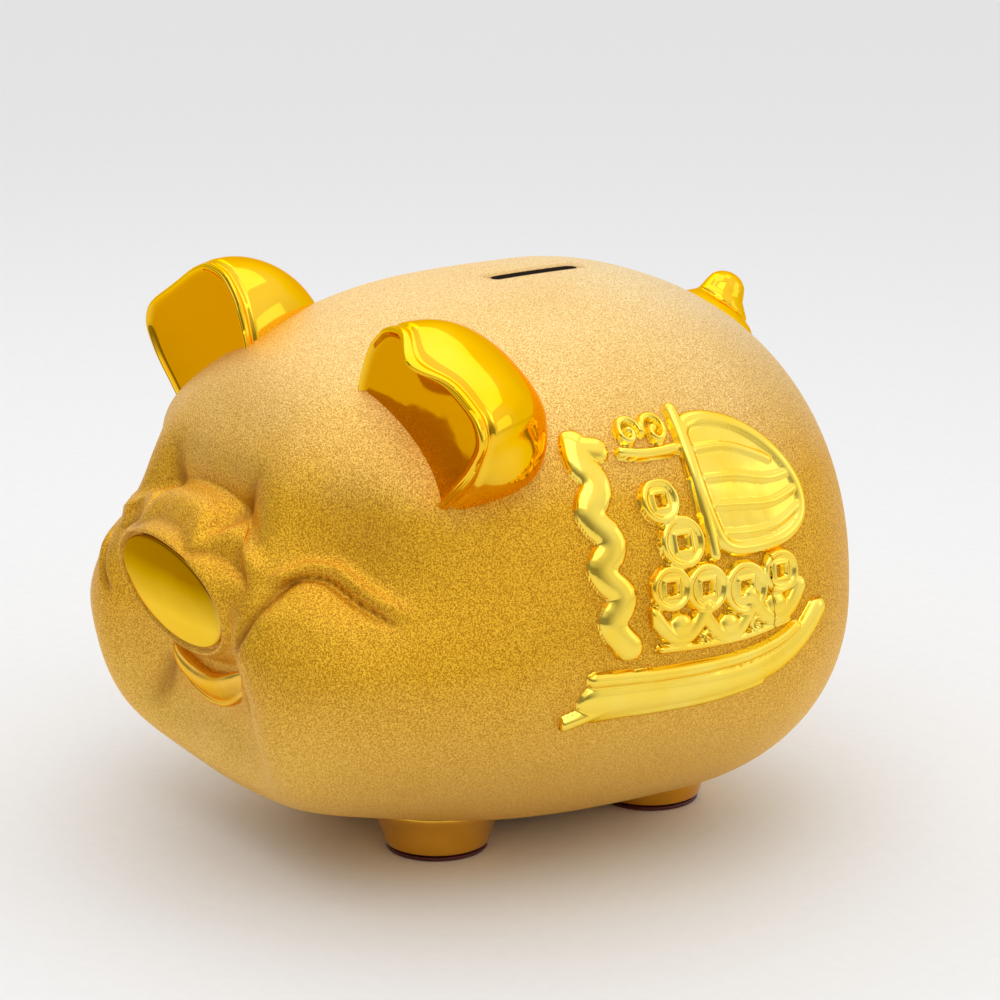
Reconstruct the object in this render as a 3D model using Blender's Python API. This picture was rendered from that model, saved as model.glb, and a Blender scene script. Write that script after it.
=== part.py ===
"""Piggy bank: a hollow ceramic shell with a coin slot and a belly stopper, applied ears, snout disc, mouth, tail,
feet with anti-slip pads, and a boat ornament on each flank. Metres, +Z up, the pig faces -Y, the floor is z = 0."""

import bpy
import numpy as np
from math import cos, radians, sin

# Shell: a squarish egg with its poles on the Y axis
HALF_WIDTH = 0.108
MID_Y, FRONT, REAR = 0.0401, 0.1542, 0.0719
MID_Z, RISE, DROP = 0.0776, 0.0964, 0.0746
POWER_FRONT, POWER_REAR, POWER_TOP, POWER_LOW = 0.756, 0.886, 0.876, 0.969
HEAD_NARROW, HEAD_SINK = 0.30, 0.096
WALL = 0.0045
BELLY_INSIDE_Z = 0.0108

# Snout: an oval tube pitched down, with a disc let into its end
SNOUT = np.array([0.0, -0.1062, 0.0892])
SNOUT_PITCH = radians(16)
SNOUT_HALF = (0.0326, 0.0205)
DISC_HALF = (0.0297, 0.0178)
DISC_THICK = 0.0016
SEAT_GAP = 0.0003

# Coin slot, cut through the back
SLOT_CENTRE_Y, SLOT_LENGTH, SLOT_WIDTH = 0.0267, 0.0320, 0.0052

# Belly hole and its stopper
HOLE_Y, HOLE_R, RECESS_R, RECESS_TOP = 0.0140, 0.0170, 0.0235, 0.0061

# Feet and pads
FOOT_FRONT, FOOT_REAR = (0.0262, -0.0274), (0.0262, 0.0550)
FOOT_TOP_R, FOOT_LOW_R = 0.0215, 0.0168
PAD_R, PAD_THICK = 0.0160, 0.0012

# Ears: a domed hood behind a flat face, set across the line from its inner to its outer base
EAR_BASE = np.array([0.0560, -0.0594, 0.1402])
EAR_TILT = radians(25)
EAR_DEPTH = 0.0420
EAR_OUTLINE = (
    (-24, -8), (-26.5, 6), (-26, 18), (-21.5, 27.5), (-12, 33.5), (-2, 34.5), (10, 33.5), (22, 33), (33, 32), (38, 27),
    (35, 16), (30, 5), (24, -8),
)
EAR_SWELL_LOW, EAR_SWELL_TOP = 0.0075, 0.0030

# Tail: a spiral cone standing on the rear, as (radius, height) along its own axis
TAIL = np.array([0.0, 0.0955, 0.1475])
TAIL_TILT = radians(31)
TAIL_PROFILE = (
    (1.2, 19.2), (3.6, 18.0), (5.6, 15.2), (6.2, 12.6), (5.4, 10.6), (7.6, 10.2), (9.8, 8.2), (10.2, 5.8), (9.2, 4.0),
    (13.2, 3.6), (15.8, 1.6), (16.6, -1.2), (16.0, -5.0), (14.0, -14.0),
)

# Mouth: a smiling lip under the snout
MOUTH_HALF, MOUTH_LOW, MOUTH_LIFT, MOUTH_Y = 0.0215, 0.0570, 0.0098, -0.0930

# Ornament: raised sprigs on each flank, outlines in millimetres along Y and Z
RELIEF_BACK, RELIEF_FRONT = 0.0003, 0.0028
SPRIGS = {
    "hull": (
        (-29, 62), (-14, 61), (6, 60.5), (28, 60.5), (42, 62.5), (52, 68), (58, 75), (62, 83), (59, 85), (53, 81),
        (45, 77), (34, 75), (14, 74.5), (-6, 75.5), (-16, 77.5), (-22, 75), (-26, 68),
    ),
    "ribbon": (
        (-12, 81), (-6, 84), (-10, 91), (-5, 98), (-11, 105), (-6, 112), (-13, 118), (-8, 125), (-11, 132),
        (-7, 138), (-13, 142), (-21, 137), (-22, 128), (-17, 121), (-22, 115), (-17, 108), (-21, 100), (-16, 92),
    ),
    "sail": (
        (-3, 144.5), (5, 146.5), (14, 145), (20, 146), (28, 144.5), (41, 141), (51, 133), (57, 121), (56, 111),
        (47, 105.3), (35, 104), (24, 105.5), (18, 104.5), (16.2, 118), (16.2, 133.5), (11, 134), (3, 134.5), (-4, 135),
    ),
    "hoard": (
        (-3, 79), (6, 78.5), (20, 78.5), (36, 79), (46, 81.5), (51, 88), (49, 98), (42, 104), (36, 103), (30, 103.5),
        (22, 101), (15, 105), (15.5, 117), (10, 128), (1, 130), (-3, 120), (-2, 108), (-3, 97), (-1, 87),
    ),
}
HOARD_HOLES = (((38, 90), 4.5), ((4, 114), 5.0), ((6, 90), 4.0))
SLAB_S, SLAB_T = (radians(68), radians(118)), (radians(36), radians(114))


def power(value, exponent):
    return np.sign(value) * (np.abs(value) + 1e-9) ** exponent


def step(start, end, value):
    """0 before start, 1 after end, smooth between."""
    u = np.clip((value - start) / (end - start), 0, 1)
    return u * u * (3 - 2 * u)


def bump(x, y, z, centre, radius):
    return np.exp(-((x - centre[0]) ** 2 + (y - centre[1]) ** 2 + (z - centre[2]) ** 2) / (2 * radius**2))


def rings(s, t):
    """Where the grid lies before the face is shaped, as (x, z): s runs from the front pole to the rear one, t round
    the Y axis from the top. near is 1 close to the front pole, where rings become ovals (oval_x, oval_w)."""
    front = np.cos(s) > 0
    e = np.where(front, POWER_FRONT, POWER_REAR)
    ring = (np.abs(np.sin(s)) + 1e-9) ** e
    g = np.where(np.cos(t) > 0, POWER_TOP, POWER_LOW)
    x = HALF_WIDTH * ring * power(np.sin(t), g)
    z = MID_Z + np.where(np.cos(t) > 0, RISE, DROP) * ring * power(np.cos(t), g)
    near = np.where(front, 1 - step(0.33, 0.85, ring), 0)
    m = ring * HALF_WIDTH / SNOUT_HALF[0]
    return x, z, near, SNOUT_HALF[0] * m * np.sin(t), SNOUT_HALF[1] * m * np.cos(t)


def face(x, z, near, s):
    """The shell over (x, z), without its snout: an egg whose head narrows, with cheeks, jowls, brows, fuller
    roots for the ears, and a valley between the cheeks."""
    front = np.cos(s) > 0
    e = np.where(front, POWER_FRONT, POWER_REAR)
    g = np.where(z > MID_Z, POWER_TOP, POWER_LOW)
    high = np.where(z > MID_Z, RISE, DROP)
    ring = (np.abs(x / HALF_WIDTH) ** (2 / g) + np.abs((z - MID_Z) / high) ** (2 / g)) ** (g / 2)
    reach = np.where(near > 0, np.clip(1 - ring ** (2 / e), 0, 1) ** (e / 2), np.abs(power(np.cos(s), e)))
    y = MID_Y - np.where(front, FRONT, -REAR) * reach
    side = np.sign(x)
    head = step(0.004, -0.143, y)
    x = x * (1 - HEAD_NARROW * head * step(0.072, 0.121, z))
    z = z - HEAD_SINK * head * np.maximum(z - 0.060, 0)
    cheek = bump(np.abs(x), y, z, (0.066, -0.095, 0.075), 0.022)
    x, y = x + side * 0.003 * cheek, y - 0.0005 * cheek
    jowl = bump(np.abs(x), y, z, (0.050, -0.094, 0.030), 0.019)
    x, y, z = x + side * 0.002 * jowl, y - 0.0065 * jowl, z - 0.0015 * jowl
    throat = bump(np.abs(x), y, z, (0.030, -0.055, 0.006), 0.024)
    z = z + 0.0018 * throat
    brow = bump(np.abs(x), y, z, (0.066, -0.091, 0.113), 0.014)
    x, y = x - side * 0.0055 * brow, y + 0.007 * brow
    ear_root = bump(np.abs(x), y, z, (0.074, -0.068, 0.132), 0.018)
    x, y = x + side * 0.009 * ear_root, y - 0.004 * ear_root
    fall = step(0.020, 0.050, z) * (1 - 0.6 * step(0.105, 0.135, z))
    wide = 0.041 - 0.008 * step(0.064, 0.088, z)
    y = y + 0.0205 * step(-0.060, -0.104, y) * np.exp(-(np.abs(x / wide) ** 4)) * fall
    return x, y, z


def skin(s, t, snout=True):
    """The shell's outside on a grid: the face, its rings shifted along it until those near the snout fit the
    snout's own ovals, and then the snout pushed out along its axis."""
    s, t = s + 0 * t, t + 0 * s
    out, up = np.array([0, -cos(SNOUT_PITCH), -sin(SNOUT_PITCH)]), np.array([0, -sin(SNOUT_PITCH), cos(SNOUT_PITCH)])
    x0, z0, near, oval_x, oval_w = rings(s, t)
    for turn in range(8):
        x, y, z = face(x0, z0, near, s)
        w = (y - SNOUT[1]) * up[1] + (z - SNOUT[2]) * up[2]
        if turn == 0:
            goal_x, goal_w = x + near * (oval_x - x), w + near * (oval_w - w)
        x0, z0 = x0 + goal_x - x, z0 + goal_w - w
    x, y, z = face(x0, z0, near, s)
    if snout:
        w = (y - SNOUT[1]) * up[1] + (z - SNOUT[2]) * up[2]
        n = (y - SNOUT[1]) * out[1] + (z - SNOUT[2]) * out[2]
        oval = np.sqrt((x / SNOUT_HALF[0]) ** 2 + (w / SNOUT_HALF[1]) ** 2)
        rise = (1 - step(0.97, 1.28, oval)) * step(-0.060, -0.080, y)
        rim = -(DISC_THICK + SEAT_GAP) * (1 - step(0.915, 0.94, oval)) - 0.0014 * step(0.965, 1.04, oval)
        y, z = y + (rim - n) * rise * out[1], z + (rim - n) * rise * out[2]
    return np.stack([x, y, z], -1)


def offset(points, lift):
    """Grid points moved out along the surface by lift; rows run pole to pole, columns go round."""
    along = np.gradient(points, axis=0)
    round_ = np.roll(points, -1, 1) - np.roll(points, 1, 1)
    normal = np.cross(round_, along)
    normal /= np.maximum(np.linalg.norm(normal, axis=-1, keepdims=True), 1e-12)
    return points + lift * normal


def grid_faces(rows, columns, closed=True):
    """Quads of a grid whose vertices run row by row; closed joins the last column to the first."""
    i, j = np.meshgrid(np.arange(rows - 1), np.arange(columns if closed else columns - 1), indexing="ij")
    k = (j + 1) % columns
    return np.stack([i * columns + j, i * columns + k, (i + 1) * columns + k, (i + 1) * columns + j], -1).reshape(-1, 4)


def material(name, colour, metallic, roughness):
    made = bpy.data.materials.new(name)
    made.use_nodes = True
    shader = made.node_tree.nodes["Principled BSDF"]
    shader.inputs["Base Color"].default_value = (*colour, 1)
    shader.inputs["Metallic"].default_value = metallic
    shader.inputs["Roughness"].default_value = roughness
    return made


def volume(points, faces):
    """Six times the signed volume inside the faces: above 0 when they face out."""
    return sum(np.dot(points[f[0]], np.cross(points[f[i]], points[f[i + 1]])) for f in faces for i in range(1, len(f) - 1))


def new_object(name, points, faces, look=None, origin=(0, 0, 0), smooth=True):
    points = np.asarray(points, float) - origin
    faces = [[int(i) for i in f] for f in faces]
    if volume(points, faces) < 0:
        faces = [f[::-1] for f in faces]
    mesh = bpy.data.meshes.new(name)
    mesh.from_pydata(points.tolist(), [], faces)
    made = bpy.data.objects.new(name, mesh)
    made.location = origin
    bpy.context.scene.collection.objects.link(made)
    mesh.validate()
    if smooth:
        mesh.shade_smooth()
    if look:
        mesh.materials.append(look)
    else:
        made.hide_render = True
        made.display_type = "WIRE"
    return made


def capped(name, rings, look=None, origin=(0, 0, 0)):
    """A closed surface from a stack of rings, each end drawn together at its ring's middle."""
    rows, columns = rings.shape[:2]
    points = np.concatenate([rings.reshape(-1, 3), [rings[0].mean(0)], [rings[-1].mean(0)]])
    faces = grid_faces(rows, columns).tolist()
    first, last = rows * columns, rows * columns + 1
    for j in range(columns):
        k = (j + 1) % columns
        faces.append([first, k, j])
        faces.append([last, (rows - 1) * columns + j, (rows - 1) * columns + k])
    return new_object(name, points, faces, look, origin)


def turned(name, profile, centre, steps, look=None, origin=(0, 0, 0)):
    """A profile of (radius, height) pairs from its top down, turned round a vertical axis at centre."""
    turn = np.linspace(0, 2 * np.pi, steps, endpoint=False)
    radius, height = np.array(profile).T
    rings = np.stack(
        [centre[0] + radius[:, None] * np.cos(turn), centre[1] + radius[:, None] * np.sin(turn), height[:, None] + 0 * turn],
        -1,
    )
    return capped(name, rings[:, ::-1], look, origin)


def egg_surface(name, s, columns, lift, look=None, snout=True):
    """The shell's skin, moved along itself by lift, as a closed mesh."""
    t = np.linspace(0, 2 * np.pi, columns, endpoint=False)
    grid = skin(s[:, None], t[None, :], snout)
    return capped(name, offset(grid, lift)[:, ::-1], look)


def prism(name, outline, low, high, axis):
    """An outline drawn on the plane across axis (0 = X, 2 = Z), run from low to high along it."""
    flat = np.array(outline, float)
    area = np.sum(flat[:, 0] * np.roll(flat[:, 1], -1) - flat[:, 1] * np.roll(flat[:, 0], -1))
    flat = flat if area > 0 else flat[::-1]
    count = len(flat)
    ends = [np.insert(flat, axis, level, axis=1) for level in (low, high)]
    faces = [list(range(count))[::-1], list(range(count, 2 * count))]
    faces += [[i, (i + 1) % count, count + (i + 1) % count, count + i] for i in range(count)]
    return new_object(name, np.concatenate(ends), faces, smooth=False)


def cut(target, cutter, operation="DIFFERENCE"):
    added = target.modifiers.new(operation.lower(), "BOOLEAN")
    added.operation, added.solver, added.object = operation, "EXACT", cutter


def mirrored(source, name):
    """The same mesh on the other flank, with its faces turned to point out."""
    points = np.empty(len(source.data.vertices) * 3)
    source.data.vertices.foreach_get("co", points)
    points = points.reshape(-1, 3) * (-1, 1, 1)
    return new_object(name, points, [list(p.vertices)[::-1] for p in source.data.polygons], source.data.materials[0])


def rings_of_s():
    """Ring places from pole to pole, close together round the snout's edge."""
    front = np.array([0.06, 0.14, 0.22, 0.257, 0.266, 0.274, 0.284, 0.296, 0.312, 0.332, 0.357, 0.39, 0.44, 0.51, 0.60, 0.70, 0.80, 0.885])
    s_front = np.arcsin(front ** (1 / POWER_FRONT))
    return np.concatenate([s_front, np.radians([66, 76, 86, 95, 104, 113, 122, 131, 140, 149, 157, 164, 170, 175])])


def shell(look, cavity, clearances):
    body = egg_surface("body_shell", rings_of_s(), 60, 0.0, look)
    cut(body, cavity)
    for cutter in clearances:
        cut(body, cutter)
    return body


def inside():
    """The cavity: the skin without its snout, moved in by the wall, and held up off the belly."""
    s = np.radians(np.linspace(6, 174, 22))
    t = np.linspace(0, 2 * np.pi, 36, endpoint=False)
    grid = offset(skin(s[:, None], t[None, :], False), -WALL)
    low = BELLY_INSIDE_Z
    grid[..., 2] = np.where(grid[..., 2] < low, low + 0.02 * (grid[..., 2] - low), grid[..., 2])
    return capped("cavity", grid[:, ::-1])


def slot_cutter():
    half, wide = SLOT_LENGTH / 2, SLOT_WIDTH / 2
    outline = [
        (-wide * 0.55, -half), (wide * 0.55, -half), (wide, -half + 0.0022), (wide, half - 0.0022),
        (wide * 0.55, half), (-wide * 0.55, half), (-wide, half - 0.0022), (-wide, -half + 0.0022),
    ]
    return prism("slot_cutter", [(x, SLOT_CENTRE_Y + y) for x, y in outline], 0.150, 0.200, 2)


def stopper(look):
    """Rubber stopper: dished flange, grip bar, neck and a bead that stays just inside the bore."""
    profile = (
        (0.0060, 0.0152), (0.0135, 0.0150), (0.0152, 0.0144), (0.0163, 0.0134), (0.0163, 0.0122), (0.0158, 0.0113),
        (0.0158, 0.0057), (0.0200, 0.0057), (0.0222, 0.0056), (0.0229, 0.0051), (0.0229, 0.0043), (0.0222, 0.0036),
        (0.0190, 0.0034), (0.0140, 0.0035), (0.0118, 0.0046), (0.0108, 0.0086), (0.0060, 0.0090),
    )
    made = turned("stopper", profile, (0, HOLE_Y), 40, look, (0, HOLE_Y, 0))
    bar = prism("grip_bar", [(-0.0022, HOLE_Y - 0.0125), (0.0022, HOLE_Y - 0.0125), (0.0022, HOLE_Y + 0.0125),
                             (-0.0022, HOLE_Y + 0.0125)], 0.0033, 0.0100, 2)
    cut(made, bar, "UNION")
    return made


def foot(name, place, look, clearance):
    profile = (
        (FOOT_TOP_R + 0.0030, 0.0320), (FOOT_TOP_R + 0.0014, 0.0200), (FOOT_TOP_R, 0.0120),
        (FOOT_LOW_R + 0.0016, 0.0056), (FOOT_LOW_R, 0.0028), (FOOT_LOW_R - 0.0012, PAD_THICK + SEAT_GAP),
    )
    made = turned(name, profile, place, 36, look)
    cut(made, clearance)
    return made


def pad(name, place, look):
    profile = ((PAD_R - 0.0002, PAD_THICK), (PAD_R, PAD_THICK - 0.0003), (PAD_R, 0.0003), (PAD_R - 0.0003, 0.0))
    return turned(name, profile, place, 36, look)


def snout_disc(look):
    """An oval plate, slightly dished, that fills the end of the snout."""
    up = np.array([0, -sin(SNOUT_PITCH), cos(SNOUT_PITCH)])
    out = np.array([0, -cos(SNOUT_PITCH), -sin(SNOUT_PITCH)])
    turn = np.linspace(0, 2 * np.pi, 48, endpoint=False)
    rings = []
    for size, level in (
        (0.35, -0.0008), (0.75, -0.0003), (0.93, 0.0001), (0.985, 0.0), (1.0, -0.0005), (1.0, -0.0010), (0.97, -0.0013),
        (0.5, -0.0013),
    ):
        x = DISC_HALF[0] * size * np.sin(turn)
        w = DISC_HALF[1] * size * np.cos(turn)
        rings.append(SNOUT + x[:, None] * (1, 0, 0) + w[:, None] * up + level * out)
    return capped("snout_disc", np.array(rings)[:, ::-1], look)


def mouth(look, clearance):
    """A sausage bent into a smile, let into the skin under the snout."""
    u = np.linspace(-0.98, 0.98, 15)
    turn = np.linspace(0, 2 * np.pi, 14, endpoint=False)
    fat = np.sqrt(1 - u**2)
    x = MOUTH_HALF * u[:, None] + 0 * turn
    y = MOUTH_Y - 0.0022 * (u**2)[:, None] - 0.0062 * fat[:, None] * np.cos(turn)
    z = MOUTH_LOW + MOUTH_LIFT * (u**2)[:, None] + 0.0052 * fat[:, None] * np.sin(turn)
    made = capped("mouth", np.stack([x, y, z], -1), look)
    cut(made, clearance)
    return made


def ear(look, clearance):
    """The left ear: its outline carried back from the face and drawn in to a dome; the face is a little hollow."""
    outline = np.array(EAR_OUTLINE, float) / 1000
    loop = np.concatenate([outline, outline[:1]])
    length = np.concatenate([[0], np.cumsum(np.linalg.norm(np.diff(loop, axis=0), axis=1))])
    place = np.linspace(0, length[-1], 36, endpoint=False)
    rim = np.stack([np.interp(place, length, loop[:, k]) for k in (0, 1)], -1)
    for _ in range(2):
        rim = 0.5 * rim + 0.25 * (np.roll(rim, 1, 0) + np.roll(rim, -1, 0))
    middle = np.array([0.002, 0.006])
    across, upward = np.array([cos(EAR_TILT), 0, -sin(EAR_TILT)]), np.array([sin(EAR_TILT), 0, cos(EAR_TILT)])
    rings = [(0.30, 0.0022), (0.62, 0.0016), (0.88, 0.0004), (0.97, 0.0), (1.0, 0.0016)]
    rings += [((1 - depth**2.2) ** 0.5, EAR_DEPTH * depth) for depth in (0.12, 0.26, 0.42, 0.58, 0.72, 0.84, 0.93, 0.98)]
    grid = []
    low = step(-0.005, 0.020, rim[:, :1]) * (1 - step(0.008, 0.026, rim[:, 1:]))
    top = step(0.018, 0.032, rim[:, 1:])
    swell = EAR_SWELL_LOW * low * np.array([0.75, -0.65]) + EAR_SWELL_TOP * top * np.array([0, 1])
    for size, level in rings:
        belly = sin(radians(180) * min(max(level, 0) / EAR_DEPTH, 1) ** 0.75)
        flat = middle + (rim - middle) * size + swell * belly
        grid.append(EAR_BASE + flat[:, :1] * across + flat[:, 1:] * upward + np.array([0, level, 0]))
    made = capped("ear_left", np.array(grid), look)
    cut(made, clearance)
    return made


def tail(look, clearance):
    """The profile turned round the tail's own tilted axis."""
    turn = np.linspace(0, 2 * np.pi, 32, endpoint=False)
    back, axis = np.array([0, cos(TAIL_TILT), -sin(TAIL_TILT)]), np.array([0, sin(TAIL_TILT), cos(TAIL_TILT)])
    radial = np.cos(turn)[:, None] * np.array([1, 0, 0]) + np.sin(turn)[:, None] * back
    radius, height = np.array(TAIL_PROFILE).T[..., None, None] / 1000
    made = capped("tail", TAIL + radius * radial + height * axis, look)
    cut(made, clearance)
    return made


def slab(side):
    """A curved plate over one flank, from just off the skin to the ornament's height."""
    s, t = np.linspace(*SLAB_S, 12), np.linspace(*SLAB_T, 13)
    grid = skin(s[:, None], t[None, :])
    rows, columns = grid.shape[:2]
    along, across = np.gradient(grid, axis=0), np.gradient(grid, axis=1)
    normal = np.cross(across, along)
    normal /= np.linalg.norm(normal, axis=-1, keepdims=True)
    points = np.concatenate([(grid + RELIEF_BACK * normal).reshape(-1, 3), (grid + RELIEF_FRONT * normal).reshape(-1, 3)])
    inner = grid_faces(rows, columns, False)
    count = rows * columns
    edge = list(range(columns)) + [r * columns + columns - 1 for r in range(1, rows)]
    edge += [count - 1 - j for j in range(1, columns)] + [r * columns for r in range(rows - 2, 0, -1)]
    faces = inner.tolist() + (inner[:, ::-1] + count).tolist()
    faces += [[b, a, a + count, b + count] for a, b in zip(edge, edge[1:] + edge[:1])]
    return points * (side, 1, 1), faces if side > 0 else [f[::-1] for f in faces]


def relief(side, word, look):
    """The four sprigs of one flank, each the part of the curved plate inside its outline."""
    for part_name, outline in SPRIGS.items():
        points, faces = slab(side)
        made = new_object(f"relief_{word}_{part_name}", points, faces, look, smooth=False)
        low, high = sorted((side * 0.060, side * 0.125))
        flat = [(y / 1000, z / 1000) for y, z in outline]
        cut(made, prism(f"outline_{word}_{part_name}", flat, low, high, 0), "INTERSECT")
        if part_name == "hoard":
            for number, ((y, z), half) in enumerate(HOARD_HOLES):
                square = [(y - half, z), (y, z - half), (y + half, z), (y, z + half)]
                flat = [(a / 1000, b / 1000) for a, b in square]
                cut(made, prism(f"hole_{word}_{number}", flat, low, high, 0))


def build():
    for old in list(bpy.data.objects):
        bpy.data.objects.remove(old)
    matte = material("sand_gold", (0.78, 0.53, 0.16), 0.9, 0.45)
    bright = material("polished_gold", (0.95, 0.66, 0.14), 1.0, 0.10)
    felt = material("maroon_pad", (0.16, 0.01, 0.01), 0.0, 0.8)
    rubber = material("stopper_rubber", (0.045, 0.045, 0.045), 0.0, 0.7)
    hole = turned("hole_cutter", ((HOLE_R, 0.030), (HOLE_R, 0.002)), (0, HOLE_Y), 40)
    recess = turned("recess_cutter", ((RECESS_R, RECESS_TOP), (RECESS_R, -0.005)), (0, HOLE_Y), 40)
    shell(matte, inside(), (slot_cutter(), hole, recess))
    clearance = egg_surface("skin_clearance", rings_of_s(), 60, SEAT_GAP)
    stopper(rubber)
    snout_disc(bright)
    mouth(bright, clearance)
    for word, side in (("left", 1), ("right", -1)):
        for end, place in (("front", FOOT_FRONT), ("rear", FOOT_REAR)):
            spot = (side * place[0], place[1])
            foot(f"foot_{end}_{word}", spot, bright, clearance)
            pad(f"pad_{end}_{word}", spot, felt)
        relief(side, word, bright)
    left = ear(bright, clearance)
    right = mirrored(left, "ear_right")
    cut(right, clearance)
    tail(bright, clearance)


build()
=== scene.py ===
from math import cos, pi, radians, sin

import bpy
import numpy as np
from mathutils import Matrix, Vector


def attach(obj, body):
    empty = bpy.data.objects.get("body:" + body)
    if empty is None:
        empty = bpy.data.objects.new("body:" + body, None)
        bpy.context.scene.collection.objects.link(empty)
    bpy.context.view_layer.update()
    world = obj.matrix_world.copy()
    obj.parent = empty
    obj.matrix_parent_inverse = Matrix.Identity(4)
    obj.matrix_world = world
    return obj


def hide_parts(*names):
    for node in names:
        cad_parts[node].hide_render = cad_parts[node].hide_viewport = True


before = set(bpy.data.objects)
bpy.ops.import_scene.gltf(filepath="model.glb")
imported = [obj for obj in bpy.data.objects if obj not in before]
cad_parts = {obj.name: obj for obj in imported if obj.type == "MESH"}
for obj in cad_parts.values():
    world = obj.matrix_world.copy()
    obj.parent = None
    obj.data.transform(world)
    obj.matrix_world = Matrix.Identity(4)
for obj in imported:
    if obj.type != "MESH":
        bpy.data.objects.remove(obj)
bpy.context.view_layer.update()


# Body shell. Slip-cast earthenware in one pour, snout tube, cheeks and eye folds included, fettled by hand and fired
# under a sand-textured gold glaze. The coin slot and the cash-out hole are cut while the clay is leather-hard.
HALF_WIDTH = 0.108
MID_Y, FRONT, REAR = 0.0401, 0.1542, 0.0719
MID_Z, RISE, DROP = 0.0776, 0.0964, 0.0746
POWER_FRONT, POWER_REAR, POWER_TOP, POWER_LOW = 0.756, 0.886, 0.876, 0.969
HEAD_NARROW, HEAD_SINK = 0.30, 0.096
WALL, BELLY_INSIDE = 0.0045, 0.0108
SNOUT = np.array([0.0, -0.1062, 0.0892])
SNOUT_PITCH = radians(16)
SNOUT_HALF = (0.0326, 0.0205)
DISC_HALF = (0.0297, 0.0178)
DISC_THICK, SEAT_GAP = 0.0016, 0.0003
SNOUT_OUT = np.array([0, -cos(SNOUT_PITCH), -sin(SNOUT_PITCH)])
SNOUT_UP = np.array([0, -sin(SNOUT_PITCH), cos(SNOUT_PITCH)])
SLOT_CENTRE_Y, SLOT_LENGTH, SLOT_WIDTH = 0.0267, 0.0320, 0.0052
HOLE_Y, HOLE_R, RECESS_R, RECESS_TOP = 0.0140, 0.0170, 0.0235, 0.0061
BLEND_START, BLEND_END = 0.33, 0.85  # rings inside the first are the snout's ovals, outside the second the egg's
# Soft forms of the head: centre and radius, then how far each pushes the skin out, back and up.
CHEEK, CHEEK_OUT, CHEEK_BACK = ((0.066, -0.095, 0.075), 0.022), 0.003, -0.0005
JOWL, JOWL_OUT, JOWL_BACK, JOWL_UP = ((0.050, -0.094, 0.030), 0.019), 0.002, -0.0065, -0.0015
THROAT, THROAT_UP = ((0.030, -0.055, 0.006), 0.024), 0.0018
BROW, BROW_OUT, BROW_BACK = ((0.066, -0.091, 0.113), 0.014), -0.0055, 0.007
EAR_ROOT, EAR_ROOT_OUT, EAR_ROOT_BACK = ((0.074, -0.068, 0.132), 0.018), 0.009, -0.004
VALLEY_DEEP, VALLEY_LOW_WIDE, VALLEY_NARROWING = 0.0205, 0.041, 0.008
# Folds on the front of the head, as lines of (across, up) in millimetres, and their depths and widths in millimetres.
EYE_FOLD = ((49.5, 99.5), (50.3, 102.3), (52.4, 103.6), (54.7, 103.6), (57.4, 102.9), (61.8, 100.8), (66.3, 98.6),
            (73.6, 95.8), (82.0, 92.0))
CHEEK_FOLD = ((49.5, 101.5), (48.6, 96.0), (46.0, 90.0), (42.5, 84.0), (39.0, 78.0))
MOUTH_FOLD = ((22.0, 63.0), (25.0, 57.0), (29.5, 50.0), (34.0, 44.0), (39.0, 39.0))
EYE_DEEP, EYE_WIDE, LID_HIGH, LID_AWAY, LID_WIDE = 2.1, 0.7, 1.9, 3.0, 1.8
POUCH_HIGH, POUCH_AWAY, POUCH_WIDE = 1.3, 6.5, 5.0
CHEEK_DEEP, CHEEK_WIDE, MOUTH_DEEP, MOUTH_WIDE = 1.5, 1.6, 1.3, 2.6
BRIDGE_HIGH, BRIDGE_WIDE, BRIDGE_DEEP, BRIDGE_AWAY = 3.0, 2.9, 1.1, 3.6
FROWN_DEEP, CHIN_HIGH, SLOT_PRESS = 1.3, 1.5, 0.7
BRIDGE_FOLD = ((0.0, 115.5), (8.0, 115.0), (14.0, 112.6), (18.0, 110.2), (23.0, 111.0), (30.0, 109.0), (37.0, 105.5),
               (44.0, 101.0))


def power(value, exponent):
    """value to a power, keeping its sign."""
    return np.sign(value) * (np.abs(value) + 1e-9) ** exponent


def step(start, end, value):
    """0 before start, 1 after end, a smooth cubic between."""
    u = np.clip((value - start) / (end - start), 0, 1)
    return u * u * (3 - 2 * u)


def bump(x, y, z, centre, radius):
    """A Gaussian hill round a centre in space."""
    return np.exp(-((x - centre[0]) ** 2 + (y - centre[1]) ** 2 + (z - centre[2]) ** 2) / (2 * radius**2))


def rings(s, t):
    """A squarish egg seen from the front: s runs from the front pole to the rear one, t round it from the top. Close
    to the front pole, near is 1 and the rings become the snout's ovals."""
    front = np.cos(s) > 0
    e = np.where(front, POWER_FRONT, POWER_REAR)
    ring = (np.abs(np.sin(s)) + 1e-9) ** e
    g = np.where(np.cos(t) > 0, POWER_TOP, POWER_LOW)
    x = HALF_WIDTH * ring * power(np.sin(t), g)
    z = MID_Z + np.where(np.cos(t) > 0, RISE, DROP) * ring * power(np.cos(t), g)
    near = np.where(front, 1 - step(BLEND_START, BLEND_END, ring), 0)
    m = ring * HALF_WIDTH / SNOUT_HALF[0]
    return x, z, near, SNOUT_HALF[0] * m * np.sin(t), SNOUT_HALF[1] * m * np.cos(t)


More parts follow.
